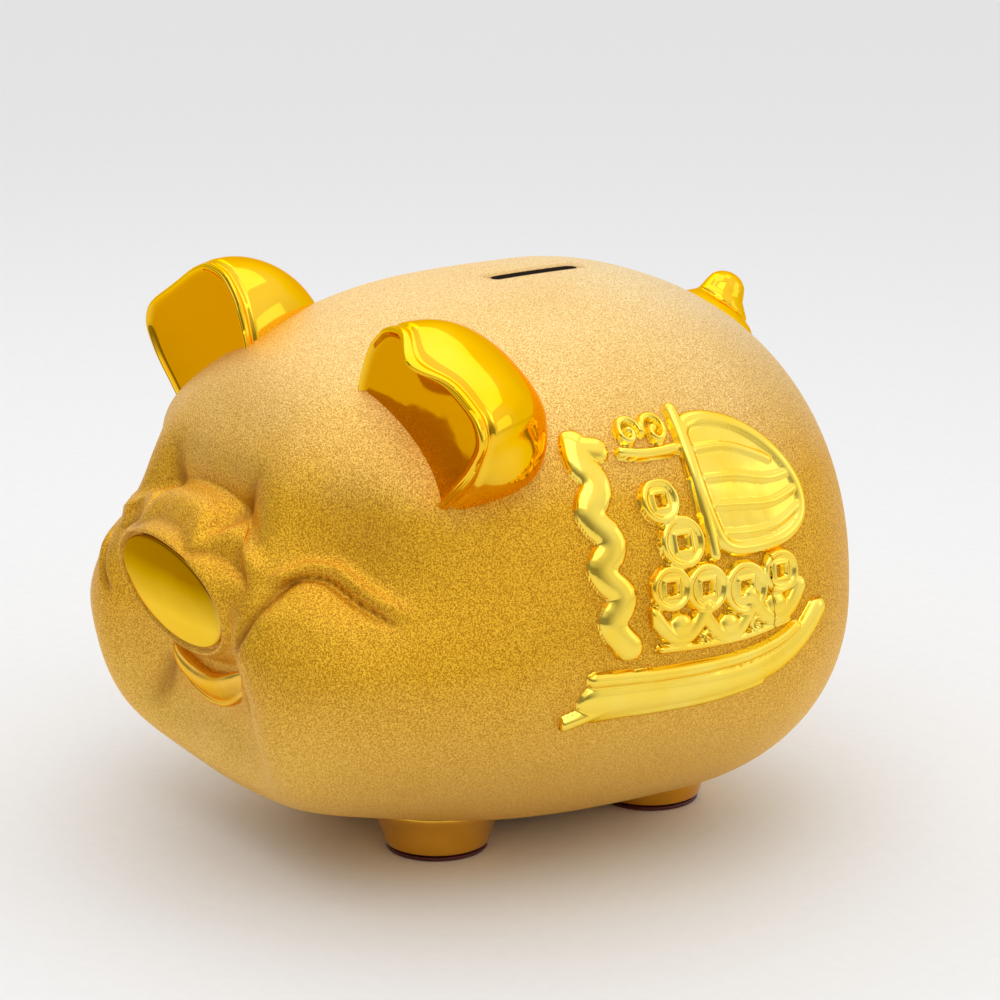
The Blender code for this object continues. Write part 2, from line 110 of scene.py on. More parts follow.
def face(x, z, near, s):
    """The egg's depth over (x, z), then the head drawn in towards the snout, with hills and hollows for cheeks,
    jowls, throat, brows and ear roots, and a valley between the cheeks."""
    front = np.cos(s) > 0
    e = np.where(front, POWER_FRONT, POWER_REAR)
    g = np.where(z > MID_Z, POWER_TOP, POWER_LOW)
    high = np.where(z > MID_Z, RISE, DROP)
    ring = (np.abs(x / HALF_WIDTH) ** (2 / g) + np.abs((z - MID_Z) / high) ** (2 / g)) ** (g / 2)
    reach = np.where(near > 0, np.clip(1 - ring ** (2 / e), 0, 1) ** (e / 2), np.abs(power(np.cos(s), e)))
    y = MID_Y - np.where(front, FRONT, -REAR) * reach
    side = np.sign(x)
    head = step(0.004, -0.143, y)
    x = x * (1 - HEAD_NARROW * head * step(0.072, 0.121, z))
    z = z - HEAD_SINK * head * np.maximum(z - 0.060, 0)
    cheek = bump(np.abs(x), y, z, *CHEEK)
    x, y = x + side * CHEEK_OUT * cheek, y + CHEEK_BACK * cheek
    jowl = bump(np.abs(x), y, z, *JOWL)
    x, y, z = x + side * JOWL_OUT * jowl, y + JOWL_BACK * jowl, z + JOWL_UP * jowl
    throat = bump(np.abs(x), y, z, *THROAT)
    z = z + THROAT_UP * throat
    brow = bump(np.abs(x), y, z, *BROW)
    x, y = x + side * BROW_OUT * brow, y + BROW_BACK * brow
    ear_root = bump(np.abs(x), y, z, *EAR_ROOT)
    x, y = x + side * EAR_ROOT_OUT * ear_root, y + EAR_ROOT_BACK * ear_root
    fall = step(0.020, 0.050, z) * (1 - 0.6 * step(0.105, 0.135, z))
    wide = VALLEY_LOW_WIDE - VALLEY_NARROWING * step(0.064, 0.088, z)
    y = y + VALLEY_DEEP * step(-0.060, -0.104, y) * np.exp(-(np.abs(x / wide) ** 4)) * fall
    return x, y, z


def skin(s, t):
    """The outside of the shell: rings shifted along the face until those near the snout fit its ovals, then the
    snout pushed out along its own pitched axis to a rim with a seat for the disc."""
    s, t = s + 0 * t, t + 0 * s
    x0, z0, near, oval_x, oval_w = rings(s, t)
    for turn in range(8):
        x, y, z = face(x0, z0, near, s)
        w = (y - SNOUT[1]) * SNOUT_UP[1] + (z - SNOUT[2]) * SNOUT_UP[2]
        if turn == 0:
            goal_x, goal_w = x + near * (oval_x - x), w + near * (oval_w - w)
        x0, z0 = x0 + goal_x - x, z0 + goal_w - w
    x, y, z = face(x0, z0, near, s)
    w = (y - SNOUT[1]) * SNOUT_UP[1] + (z - SNOUT[2]) * SNOUT_UP[2]
    n = (y - SNOUT[1]) * SNOUT_OUT[1] + (z - SNOUT[2]) * SNOUT_OUT[2]
    oval = np.sqrt((x / SNOUT_HALF[0]) ** 2 + (w / SNOUT_HALF[1]) ** 2)
    rise = (1 - step(0.97, 1.28, oval)) * step(-0.060, -0.080, y)
    rim = -(DISC_THICK + SEAT_GAP) * (1 - step(0.925, 0.945, oval)) - 0.0018 * step(0.955, 1.05, oval)
    return np.stack([x, y + (rim - n) * rise * SNOUT_OUT[1], z + (rim - n) * rise * SNOUT_OUT[2]], -1)


def outward(points, closed=True):
    """Unit normals of a grid from the cross product of its two directions; its columns may go right round."""
    along = np.gradient(points, axis=0)
    across = np.roll(points, -1, 1) - np.roll(points, 1, 1) if closed else np.gradient(points, axis=1)
    normal = np.cross(across, along)
    return normal / np.maximum(np.linalg.norm(normal, axis=-1, keepdims=True), 1e-12)


def to_line(x, z, line):
    """Signed distance in millimetres from points (x, z) in metres to a line of points in millimetres, positive on its
    left, and how far along the line the nearest place lies, from 0 to 1."""
    p, line = np.stack([x, z], -1) * 1000, np.array(line, float)
    best, sign, place = np.full(x.shape, 1e9), np.ones(x.shape), np.zeros(x.shape)
    done, total = 0, np.linalg.norm(np.diff(line, axis=0), axis=1).sum()
    for a, b in zip(line[:-1], line[1:]):
        d, length = b - a, np.linalg.norm(b - a)
        u = np.clip(((p - a) @ d) / length**2, 0, 1)
        away = np.linalg.norm(p - a - u[..., None] * d, axis=-1)
        nearer = away < best
        left = np.sign(d[0] * (p[..., 1] - a[1]) - d[1] * (p[..., 0] - a[0]))
        best, sign = np.where(nearer, away, best), np.where(nearer, left, sign)
        place = np.where(nearer, (done + u * length) / total, place)
        done += length
    return best * sign, place


def hill(distance, width):
    """A Gaussian bell over a distance: 1 in its middle, about a third at its width."""
    return np.exp(-((distance / width) ** 2))


def hand_work(points):
    """How far the modeller's folds lift the skin, in metres: each is a groove, a roll beside it and a fade at its
    ends, worked out from the distance d to a line on the front of the head and the place u along that line. The
    slot's edge is pressed in round the slot."""
    x, y, z = np.abs(points[..., 0]), points[..., 1], points[..., 2]
    across, high = x * 1000, z * 1000
    d, u = to_line(x, z, EYE_FOLD)
    lid = LID_HIGH * hill(d - LID_AWAY, LID_WIDE) * (d > -1.5)
    lift = step(0.0, 0.10, u) * (1 - step(0.72, 1.0, u)) * (lid - EYE_DEEP * hill(d, EYE_WIDE))
    lift += (1 - step(0.55, 1.0, u)) * POUCH_HIGH * hill(d + POUCH_AWAY, POUCH_WIDE)
    d, u = to_line(x, z, CHEEK_FOLD)
    lift -= (1 - step(0.75, 1.0, u)) * CHEEK_DEEP * hill(d, CHEEK_WIDE)
    d, u = to_line(x, z, MOUTH_FOLD)
    lift -= step(0.0, 0.2, u) * (1 - step(0.5, 1.0, u)) * MOUTH_DEEP * hill(d, MOUTH_WIDE)
    d, u = to_line(x, z, BRIDGE_FOLD)
    roll = BRIDGE_HIGH * (1 - 0.75 * hill(across - 18.5, 3.0)) * hill(d - 0.6, BRIDGE_WIDE)
    lift += (1 - step(0.8, 1.0, u)) * (roll - BRIDGE_DEEP * hill(d + BRIDGE_AWAY, 1.6))
    frown = hill(across - 20 - 0.25 * (high - 112), 3.2) * step(109, 114, high) * (1 - step(118, 134, high))
    lift += CHIN_HIGH * hill(across, 15) * hill(high - 41, 8.0) - FROWN_DEEP * frown
    lift *= step(-0.058, -0.072, y)
    past_end = np.maximum(np.abs(y - SLOT_CENTRE_Y) - SLOT_LENGTH / 2, 0)
    past_side = np.maximum(x - SLOT_WIDTH / 2, 0)
    pressed = (1 - step(0.0002, 0.0030, np.hypot(past_end, past_side))) * (z > 0.15)
    return (lift - SLOT_PRESS * pressed) * 1e-3


def grid_faces(rows, columns, closed=True, start=0):
    """Quads between neighbouring grid rows; closed grids join their last column to the first."""
    r, c = np.mgrid[0:rows - 1, 0:columns if closed else columns - 1]
    a, b = r * columns + c, r * columns + (c + 1) % columns
    return (np.stack([a, a + columns, b + columns, b], -1).reshape(-1, 4) + start).tolist()


def piece(name, points, faces, look, slot="", body="bank", stands_for=()):
    """A mesh object from arrays, smooth, facing outwards, riding on its body."""
    points = np.asarray(points, float).reshape(-1, 3)
    mesh = bpy.data.meshes.new(name)
    mesh.from_pydata(points.tolist(), [], faces)
    mesh.validate()
    mesh.calc_loop_triangles()
    corners = np.zeros(len(mesh.loop_triangles) * 3, np.int32)
    mesh.loop_triangles.foreach_get("vertices", corners)
    if np.linalg.det(points[corners.reshape(-1, 3)]).sum() < 0:
        mesh.flip_normals()
    mesh.polygons.foreach_set("use_smooth", np.ones(len(mesh.polygons), bool))
    mesh.materials.append(look)
    made = bpy.data.objects.new(name, mesh)
    bpy.context.scene.collection.objects.link(made)
    if body:
        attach(made, body)
    if stands_for:
        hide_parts(*stands_for)
    return made


def capped(tube):
    """Points and faces of a closed tube of rings, its first and last ring each gathered to a middle point."""
    rows, columns = tube.shape[:2]
    points = np.concatenate([tube.reshape(-1, 3), tube[0].mean(0)[None], tube[-1].mean(0)[None]])
    last = (rows - 1) * columns
    faces = grid_faces(rows, columns)
    faces += [[(c + 1) % columns, rows * columns, c] for c in range(columns)]
    faces += [[last + c, rows * columns + 1, last + (c + 1) % columns] for c in range(columns)]
    return points, faces


class Wire:
    """A node socket that takes part in Python arithmetic; each operator adds one Math node."""

    def __init__(self, tree, socket=None):
        self.tree, self.socket = tree, socket

    def node(self, kind, sockets=(), out=0, **settings):
        made = self.tree.nodes.new(kind)
        for key, value in settings.items():
            if key == "stops":
                while len(made.color_ramp.elements) < len(value):
                    made.color_ramp.elements.new(0.5)
                for element, (place, colour) in zip(made.color_ramp.elements, value):
                    element.position, element.color = place, (*colour, 1)
            else:
                setattr(made, key, value)
        for key, value in dict(sockets).items():
            if isinstance(value, Wire):
                self.tree.links.new(value.socket, made.inputs[key])
            else:
                made.inputs[key].default_value = value
        return Wire(self.tree, made.outputs[out])

    def math(self, operation, *values):
        return self.node("ShaderNodeMath", enumerate(values), operation=operation)

    def mix(self, dark, light):
        """A colour between two, by this value."""
        return self.node("ShaderNodeMix", {0: self, 6: dark, 7: light}, 2, data_type="RGBA")

    def between(self, low, high, start=0.0, end=1.0):
        """This value's stretch from low to high, brought to start and end, and held there beyond it."""
        return self.node("ShaderNodeMapRange", {0: self, 1: low, 2: high, 3: start, 4: end})

    __add__ = __radd__ = lambda a, b: a.math("ADD", a, b)
    __mul__ = __rmul__ = lambda a, b: a.math("MULTIPLY", a, b)
    __sub__ = lambda a, b: a.math("SUBTRACT", a, b)
    __rsub__ = lambda a, b: a.math("SUBTRACT", b, a)
    __pow__ = lambda a, b: a.math("POWER", a, b)


def finish_named(name):
    """A new material, the wire of its Object coordinates, and its Principled node."""
    look = bpy.data.materials.new(name)
    look.use_nodes = True
    shader = look.node_tree.nodes["Principled BSDF"]
    place = Wire(look.node_tree).node("ShaderNodeTexCoord", out=3)
    return look, place, shader


def noise(place, scale, detail=2.0, rough=0.5):
    return place.node("ShaderNodeTexNoise", {"Vector": place, "Scale": scale, "Detail": detail, "Roughness": rough})


def feed(shader, place, links=(), **constants):
    """Sets a Principled node's sockets: links from wires, the rest as constants."""
    for key, value in dict(links).items():
        place.tree.links.new(value.socket, shader.inputs[key])
    for key, value in constants.items():
        shader.inputs[key.replace("_", " ")].default_value = value


def relief_of(place, height, distance, strength, under=None):
    """A Bump node over a height wire, on top of an earlier one if given."""
    sockets = {"Height": height, "Distance": distance, "Strength": strength}
    if under:
        sockets["Normal"] = under
    return place.node("ShaderNodeBump", sockets)


sand_gold, place, shader = finish_named("sand_gold")
grain, flakes, cloud = noise(place, 1900, 2, 0.7), noise(place, 3600, 1, 0.6), noise(place, 26, 3, 0.55)
high, rearward = [place.node("ShaderNodeSeparateXYZ", {0: place}, k) for k in (2, 1)]
fold = place.node("ShaderNodeAttribute", out=2, attribute_name="fold")
speck = (grain * 0.6 + flakes * 0.4).between(0.43, 0.57)
high = high + cloud * 0.03 - 0.015
# The base colour changes with height as painted light: brighter towards the belly as a painted reflection of the floor,
# paler over the shoulders and rump as a painted highlight, and the glaze's deep gold in between.
deep = speck.mix((0.53, 0.22, 0.002, 1), (0.98, 0.575, 0.036, 1))
belly_reflection = speck.mix((0.78, 0.42, 0.05, 1), (1.0, 0.70, 0.17, 1))
shoulder_highlight = speck.mix((0.76, 0.44, 0.11, 1), (1.0, 0.82, 0.44, 1))
rump_highlight = speck.mix((0.62, 0.50, 0.32, 1), (0.95, 0.82, 0.58, 1))
top_highlight = rearward.between(0.02, 0.10).mix(shoulder_highlight, rump_highlight)
glaze_with_painted_light = high.between(0.122, 0.176).mix(high.between(0.080, 0.035).mix(deep, belly_reflection), top_highlight)
# Darker in the modelled folds as painted shade.
glaze_with_painted_light = fold.mix(glaze_with_painted_light, (0.42, 0.17, 0.008, 1))
sand_relief = relief_of(place, grain, 0.00032, 0.9, relief_of(place, flakes, 0.00018, 0.7))
feed(shader, place, {"Base Color": glaze_with_painted_light, "Normal": sand_relief,
                     "Roughness": speck.between(0, 1, 0.52, 0.40) + cloud.between(0.3, 0.7, -0.03, 0.03)},
     Metallic=1.0, Coat_Weight=0.2, Coat_Roughness=0.35, Specular_Tint=(1.0, 0.92, 0.75, 1))

# Inside of the shell: raw clay coloured near black, the darkness painted shade.
shaded_inside, place, shader = finish_named("raw_inside_shaded")
clay = noise(place, 300, 3, 0.6)
feed(shader, place, {"Base Color": clay.between(0.3, 0.7).mix((0.022, 0.012, 0.006, 1), (0.035, 0.020, 0.010, 1)),
                     "Normal": relief_of(place, clay, 0.0003, 0.4)}, Roughness=0.9)



def crowded(places, degrees_, density, fine):
    """Angles from 0 to pi at the given shares of a running sum of density, which is given at some degrees."""
    angles = np.linspace(0, pi, fine)
    total = np.cumsum(np.interp(angles, np.radians(degrees_), density))
    return np.interp(places, np.concatenate([[0], total[:-1]]) / total[-2], angles)


COLUMNS, ROWS = 250, 330
half_turn = crowded(np.linspace(0, 1, COLUMNS // 2 + 1), [0, 4, 10, 35, 50, 95, 120, 180],
                    [3.4, 3.0, 1.2, 1.4, 2.3, 2.1, 1.0, 0.8], 400)
t_places = np.concatenate([half_turn[:-1], 2 * pi - half_turn[:0:-1]])[None]
s_places = crowded(np.linspace(0.004, 0.998, ROWS), [0, 4, 14, 22, 60, 72, 110, 180],
                   [0.5, 1.6, 3.4, 2.6, 2.6, 1.5, 1.0, 0.8], 900)[:, None]
outside = skin(s_places, t_places)
outside = outside + hand_work(outside)[..., None] * outward(outside)
inside = skin(np.linspace(0.03, pi - 0.03, 70)[:, None], np.linspace(0, 2 * pi, 80, endpoint=False)[None])
inside = inside - WALL * outward(inside)
inside[..., 2] = np.maximum(inside[..., 2], BELLY_INSIDE)
outer_points, outer_faces = capped(outside)
inner_points, inner_faces = capped(inside)
body_faces = outer_faces + [[i + len(outer_points) for i in reversed(f)] for f in inner_faces]
body = piece("body", np.concatenate([outer_points, inner_points]), body_faces, sand_gold, "sand_gold", "bank",
             ("body_shell",))
body.data.materials.append(shaded_inside)
body.data.polygons.foreach_set("material_index", (np.arange(len(body_faces)) >= len(outer_faces)).astype(np.int32))


def cutter(outline, low, high):
    """An outline carried straight up between two heights, as a closed prism."""
    outline = np.array(outline, float)
    ends = [np.insert(outline, 2, level, axis=1) for level in (low, high)]
    made = bpy.data.objects.new("cutter", bpy.data.meshes.new("cutter"))
    made.data.materials.append(shaded_inside)
    count = len(outline)
    faces = [[i, (i + 1) % count, count + (i + 1) % count, count + i] for i in range(count)]
    caps = [list(range(count))[::-1], list(range(count, 2 * count))]
    made.data.from_pydata(np.concatenate(ends).tolist(), [], faces + caps)
    bpy.context.scene.collection.objects.link(made)
    return made


circle = np.linspace(0, 2 * pi, 64, endpoint=False)
half, wide = SLOT_LENGTH / 2, SLOT_WIDTH / 2
corner = np.linspace(0, pi, 12)
slot_outline = [(wide * cos(a), SLOT_CENTRE_Y + half - wide + wide * sin(a)) for a in corner]
slot_outline += [(-wide * cos(a), SLOT_CENTRE_Y - half + wide - wide * sin(a)) for a in corner]
cutters = [
    cutter(slot_outline, 0.150, 0.200),
    cutter(np.stack([HOLE_R * np.cos(circle), HOLE_Y + HOLE_R * np.sin(circle)], -1), -0.010, 0.030),
    cutter(np.stack([RECESS_R * np.cos(circle), HOLE_Y + RECESS_R * np.sin(circle)], -1), -0.010, RECESS_TOP),
]
for made in cutters:
    cut = body.modifiers.new("cut", "BOOLEAN")
    cut.object, cut.operation, cut.solver = made, "DIFFERENCE", "EXACT"
opened = bpy.data.meshes.new_from_object(body.evaluated_get(bpy.context.evaluated_depsgraph_get()))
body.modifiers.clear()
body.data = opened
for made in cutters:
    bpy.data.objects.remove(made)
spots = np.zeros(len(opened.vertices) * 3)
opened.vertices.foreach_get("co", spots)
# How deep each fold is, kept on the points so that the glaze colour is darkened there as painted shade.
depth = np.clip(-hand_work(spots.reshape(-1, 3)) / 0.0016, 0, 1)
opened.attributes.new("fold", "FLOAT", "POINT").data.foreach_set("value", depth)


# Snout disc. A thin oval slip-cast plate let into the snout's rim, ground flat, its edge softened, then glazed and
# lustre-fired to a mirror gold, with the faint unevenness that a brushed-on lustre keeps.
plate_gold, place, shader = finish_named("plate_gold")
pools, brush = noise(place, 42, 2, 0.5), noise(place, 300, 2, 0.5)
high = place.node("ShaderNodeSeparateXYZ", {0: place}, 2)
# The disc's upper part is coloured dark brown as a painted reflection; below it the disc is bright gold.
lustre = (high + pools * 0.006).between(0.085, 0.101).mix((1.0, 0.68, 0.075, 1), (0.34, 0.15, 0.001, 1))
feed(shader, place, {"Base Color": lustre, "Roughness": brush.between(0.3, 0.7, 0.07, 0.12),
                     "Normal": relief_of(place, pools, 0.0006, 0.35)}, Metallic=1.0, Specular_Tint=(1.0, 0.80, 0.38, 1))

turn = np.linspace(0, 2 * pi, 128, endpoint=False)
profile = [(0.04, 0.0008), (0.3, 0.00074), (0.55, 0.00055), (0.75, 0.0003), (0.88, 0.0), (0.94, -0.0001),
           (0.968, -0.00022), (0.985, -0.0005), (0.994, -0.0009), (0.996, -0.0013), (0.98, -0.00155), (0.9, -0.0016),
           (0.3, -0.0016)]
size, level = np.array(profile).T[..., None, None]
sideways = DISC_HALF[0] * np.cos(turn)[:, None] * np.array([1, 0, 0])
oval = size * (sideways + DISC_HALF[1] * np.sin(turn)[:, None] * SNOUT_UP)
piece("snout_plate", *capped(SNOUT + oval + level * SNOUT_OUT), plate_gold, "polished_gold", "bank", ("snout_disc",))


# Mouth. A smiling lower lip pressed from clay, with a fine bead along its foot and a hollow above it, luted under the
# snout and rubbed smooth before glazing, so it comes out satin between the sandy body and the mirror pieces.
satin_gold, place, shader = finish_named("satin_gold")
soft = noise(place, 160, 3, 0.6)
# The 'thick' attribute marks the hollow above the lip, which is coloured dark brown as painted shade.
thick = place.node("ShaderNodeAttribute", out=2, attribute_name="thick")
soft_gold = soft.between(0.3, 0.7).mix((0.90, 0.50, 0.05, 1), (0.97, 0.61, 0.11, 1))
feed(shader, place, {"Base Color": thick.mix(soft_gold, (0.10, 0.04, 0.003, 1)),
                     "Roughness": soft.between(0.3, 0.7, 0.20, 0.30), "Normal": relief_of(place, soft, 0.0003, 0.25)},
     Metallic=1.0, Specular_Tint=(1.0, 0.72, 0.30, 1))

MOUTH_HALF, MOUTH_Y, MOUTH_LOW, MOUTH_LIFT = 0.0225, -0.0916, 0.0580, 0.0078
u = np.linspace(-1, 1, 61)[:, None]
lip = np.array([
    (6.0, -6.5), (1.0, -6.9), (-0.4, -6.8), (-1.2, -6.2), (-1.3, -5.5), (-0.9, -5.0), (-1.2, -4.5), (-2.6, -3.4),
    (-3.9, -1.8), (-4.9, 0.0), (-5.1, 1.6), (-4.7, 3.2), (-3.6, 4.2), (-2.2, 4.5), (-0.6, 4.3), (0.8, 4.4),
    (1.7, 5.2), (1.6, 7.0), (0.2, 9.0), (-2.4, 10.8), (2.0, 12.5), (6.0, 12.0)]) / 1000
lip = np.stack([np.interp(np.linspace(0, len(lip) - 1, 64), np.arange(len(lip)), lip[:, k]) for k in (0, 1)], -1)
for _ in range(3):
    lip = 0.5 * lip + 0.25 * (np.roll(lip, 1, 0) + np.roll(lip, -1, 0))
fat = np.sqrt(np.clip(1 - np.abs(u) ** 3.2, 0.003, 1))
smile = np.stack([MOUTH_HALF * u + 0 * lip[:, 0],
                  MOUTH_Y - 0.0028 * u**2 + fat * lip[:, 0] + 0.0032 * np.abs(u) ** 5,
                  MOUTH_LOW + MOUTH_LIFT * u**2 + (0.35 + 0.65 * fat) * lip[:, 1]], -1)
made = piece("mouth_lip", *capped(smile), satin_gold, "satin_gold", "bank", ("mouth",))
column = np.arange(len(lip))
# Columns in the hollow above the lip, darkened as painted shade.
hollow_shade = (step(41, 45, column) * (1 - step(52, 57, column)))[None] + 0 * u
made.data.attributes.new("thick", "FLOAT", "POINT").data.foreach_set("value", np.append(hollow_shade.ravel(), [0, 0]))


# Ears. Thick hoods cast on their own and luted to the head: a sunk face inside a rolled rim that turns out to a soft
# point, with a domed back. The left one was folded over a little at its top while soft. Mirror-gold lustre all over,
# the sunk face coloured a darker orange gold as a painted dark reflection.
polished_gold, place, shader = finish_named("polished_gold")
pools, brush = noise(place, 42, 2, 0.5), noise(place, 300, 2, 0.5)
# The 'thick' attribute marks the sunk face, coloured a darker orange gold as a painted dark reflection.
thick = place.node("ShaderNodeAttribute", out=2, attribute_name="thick")
lustre = pools.between(0.35, 0.65).mix((0.95, 0.53, 0.012, 1), (0.98, 0.60, 0.035, 1))
feed(shader, place, {"Base Color": thick.mix(lustre, (0.74, 0.33, 0.001, 1)),
                     "Roughness": brush.between(0.3, 0.7, 0.045, 0.085),
                     "Normal": relief_of(place, pools, 0.0006, 0.35)}, Metallic=1.0, Specular_Tint=(1.0, 0.68, 0.15, 1))

EAR_BASE = np.array([0.0560, -0.0594, 0.1402])
EAR_TILT = radians(25)
EAR_DEPTH = 0.0420
EAR_OUTLINE = (
    (-24, -8), (-26.5, 6), (-26, 18), (-21.5, 27.5), (-12, 33.5), (-2, 34.5), (10, 33.5), (22, 33), (33, 32.5),
    (38.5, 27.5), (35.5, 16), (30, 5), (24, -8),
)
EAR_SWELL_LOW, EAR_SWELL_TOP = 0.0040, 0.0030
BULB_CENTRE, BULB_HALF, BULB_SQUARENESS = (0.0055, 0.0155), (0.0315, 0.0190), 0.85
FOLD_FORWARD, FOLD_DOWN, FOLD_AT, FOLD_WIDE = 0.0058, 0.0036, 0.001, 0.010
RIM_GROOVE, RIM_GROOVE_AT, RIM_GROOVE_WIDE = 0.045, 0.085, 0.020
outline = np.array(EAR_OUTLINE, float) / 1000
loop = np.concatenate([outline, outline[:1]])
length = np.concatenate([[0], np.cumsum(np.linalg.norm(np.diff(loop, axis=0), axis=1))])
spaced = np.linspace(0, length[-1], 180, endpoint=False)
rim = np.stack([np.interp(spaced, length, loop[:, k]) for k in (0, 1)], -1)
for _ in range(14):
    rim = 0.5 * rim + 0.25 * (np.roll(rim, 1, 0) + np.roll(rim, -1, 0))
middle = np.array([0.002, 0.006])
across, upward = np.array([cos(EAR_TILT), 0, -sin(EAR_TILT)]), np.array([sin(EAR_TILT), 0, cos(EAR_TILT)])
folded = hill(rim[:, :1] - FOLD_AT, FOLD_WIDE) * step(0.012, 0.030, rim[:, 1:])
face_size = np.concatenate([np.linspace(0.03, 0.90, 22), [0.93, 0.955, 0.975, 0.99, 1.0]])
sunk = np.concatenate([0.0026 - 0.0016 * face_size[:22] ** 2, [0.0008, 0.0002, -0.0001, 0.0002, 0.0011]])
on_face = np.zeros(len(face_size))
depth = np.concatenate([np.linspace(0.02, 0.17, 13), np.linspace(0.2, 0.9, 22), 1 - 0.1 * np.linspace(0.85, 0.08, 8) ** 2])
size = np.concatenate([face_size, (1 - depth**2.35) ** 0.5])[:, None, None]
level = np.concatenate([sunk, EAR_DEPTH * depth])[:, None, None]
groove = np.concatenate([on_face, RIM_GROOVE * hill(depth - RIM_GROOVE_AT, RIM_GROOVE_WIDE)])[:, None, None]
angle = np.arctan2((rim[:, 1] - 0.0135) / 0.0208, (rim[:, 0] - BULB_CENTRE[0]) / BULB_HALF[0])
bulb = BULB_CENTRE + power(np.stack([np.cos(angle), np.sin(angle)], -1), BULB_SQUARENESS) * BULB_HALF
rounded = np.concatenate([on_face, step(-0.10, 0.75, depth)])[:, None, None]
shape = rim * (1 - rounded) + bulb * rounded
low = step(-0.005, 0.020, rim[:, :1]) * (1 - step(0.008, 0.026, rim[:, 1:]))
swell = EAR_SWELL_LOW * low * np.array([0.90, -0.20])
swell = swell + EAR_SWELL_TOP * step(0.018, 0.032, rim[:, 1:]) * np.array([0, 1])
flat = middle + (shape - middle) * (size - groove) + swell * np.sin(pi * np.clip(level / EAR_DEPTH, 0, 1) ** 0.75)
reach = np.clip(size, 0, 1) ** 7 * np.exp(-np.maximum(level - 0.0011, 0) / 0.008)
# Rows of the sunk face, whose colour is darkened as a painted dark reflection.
in_face = np.concatenate([1 - step(0.90, 0.97, face_size), np.zeros(len(depth))])
for side, word in ((1, "left"), (-1, "right")):
    fold_over = folded * reach * (side > 0)
    grid = EAR_BASE + flat[..., :1] * across + (flat[..., 1:] - FOLD_DOWN * fold_over) * upward
    grid[..., 1] += level[..., 0] - FOLD_FORWARD * fold_over[..., 0]
    made = piece(f"ear_hood_{word}", *capped(grid * np.array([side, 1, 1])), polished_gold, "polished_gold", "bank",
                 (f"ear_{word}",))
    values = np.append(np.repeat(in_face, len(rim)), [1, 0])
    made.data.attributes.new("thick", "FLOAT", "POINT").data.foreach_set("value", values)


# Tail. A rolled clay cone coiled on itself, fat at its root and drawn out to a knob, luted high on the rump and
# lustred with the ears.
TAIL = np.array([0.0, 0.0955, 0.1475])
TAIL_TILT = radians(31)
TAIL_LOW, TAIL_HIGH, COIL_PITCH = -0.0120, 0.0198, 0.0090
turn = np.linspace(0, 2 * pi, 96, endpoint=False)[None]
v = np.linspace(0, 1, 90)[:, None]
height = TAIL_LOW + (TAIL_HIGH - TAIL_LOW) * v
cone = np.interp(v, [0, 0.30, 0.38, 0.46, 0.54, 0.62, 0.69, 0.76, 0.84, 0.91, 0.96, 0.985, 1.0],
                 [0.0150, 0.0165, 0.0164, 0.0157, 0.0142, 0.0117, 0.0092, 0.0074, 0.0067, 0.0058, 0.0042, 0.0026, 0.0004])
coil = ((height + 0.0010) / COIL_PITCH + turn / (2 * pi)) % 1.0
crest = np.sqrt(np.clip(1 - (2 * coil - 1) ** 2, 0.02, 1))
grip = step(0.30, 0.38, v) * (1 - step(0.66, 0.78, v))
radius = cone * (1 - 0.20 * grip * (1 - crest))
back, axis = np.array([0, cos(TAIL_TILT), -sin(TAIL_TILT)]), np.array([0, sin(TAIL_TILT), cos(TAIL_TILT)])
coiled = TAIL + radius[..., None] * (np.cos(turn)[..., None] * np.array([1, 0, 0]) + np.sin(turn)[..., None] * back)
coiled = coiled + height[..., None] * axis
piece("tail_coil", *capped(coiled), polished_gold, "polished_gold", "bank", ("tail",))


# Feet. Four short tapered stubs, cast hollow and luted under the belly, lustred like the ears but coloured a darker,
# redder gold all over as painted shade under the belly.
FOOT_FRONT, FOOT_REAR = (0.0262, -0.0274), (0.0262, 0.0550)
stub_gold_shaded, place, shader = finish_named("stub_gold_shaded")
pools, brush = noise(place, 55, 2, 0.5), noise(place, 300, 2, 0.5)
lustre = pools.between(0.35, 0.65).mix((0.80, 0.40, 0.035, 1), (0.92, 0.52, 0.06, 1))
feed(shader, place, {"Base Color": lustre, "Roughness": brush.between(0.3, 0.7, 0.10, 0.17),
                     "Normal": relief_of(place, pools, 0.0008, 0.4)}, Metallic=1.0)
turn = np.linspace(0, 2 * pi, 96, endpoint=False)[:, None]
profile = np.array([(2, 1.5), (10, 1.5), (14.5, 1.52), (16.0, 1.75), (16.6, 2.3), (16.95, 3.2), (17.5, 5.2), (18.6, 8.4),
                    (20.4, 11.6), (22.6, 14.6), (24.0, 17.0), (10, 18.0), (2, 18.0)]) / 1000
radius, height = profile[:, 0][:, None, None], profile[:, 1][:, None, None]
for end, (x, y) in (("front", FOOT_FRONT), ("rear", FOOT_REAR)):
    for side, word in ((1, "left"), (-1, "right")):
        stub = np.array([side * x, y, 0]) + radius * np.concatenate([np.cos(turn), np.sin(turn), 0 * turn], 1)
        stub = stub + height * np.array([0, 0, 1])
        piece(f"stub_{end}_{word}", *capped(stub), stub_gold_shaded, "polished_gold", "bank", (f"foot_{end}_{word}",))


# Foot pads. Thin dark maroon discs of soft rubber stuck under the feet to stop the bank from sliding.
maroon, place, shader = finish_named("maroon_pad")
dust = noise(place, 700, 3, 0.6)
feed(shader, place, {"Base Color": dust.between(0.3, 0.7).mix((0.055, 0.004, 0.003, 1), (0.12, 0.008, 0.006, 1)),
                     "Roughness": dust.between(0.3, 0.7, 0.45, 0.65), "Normal": relief_of(place, dust, 0.0002, 0.4)})
for name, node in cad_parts.items():
    if name.startswith("pad_"):
        node.data.materials.clear()
        node.data.materials.append(maroon)


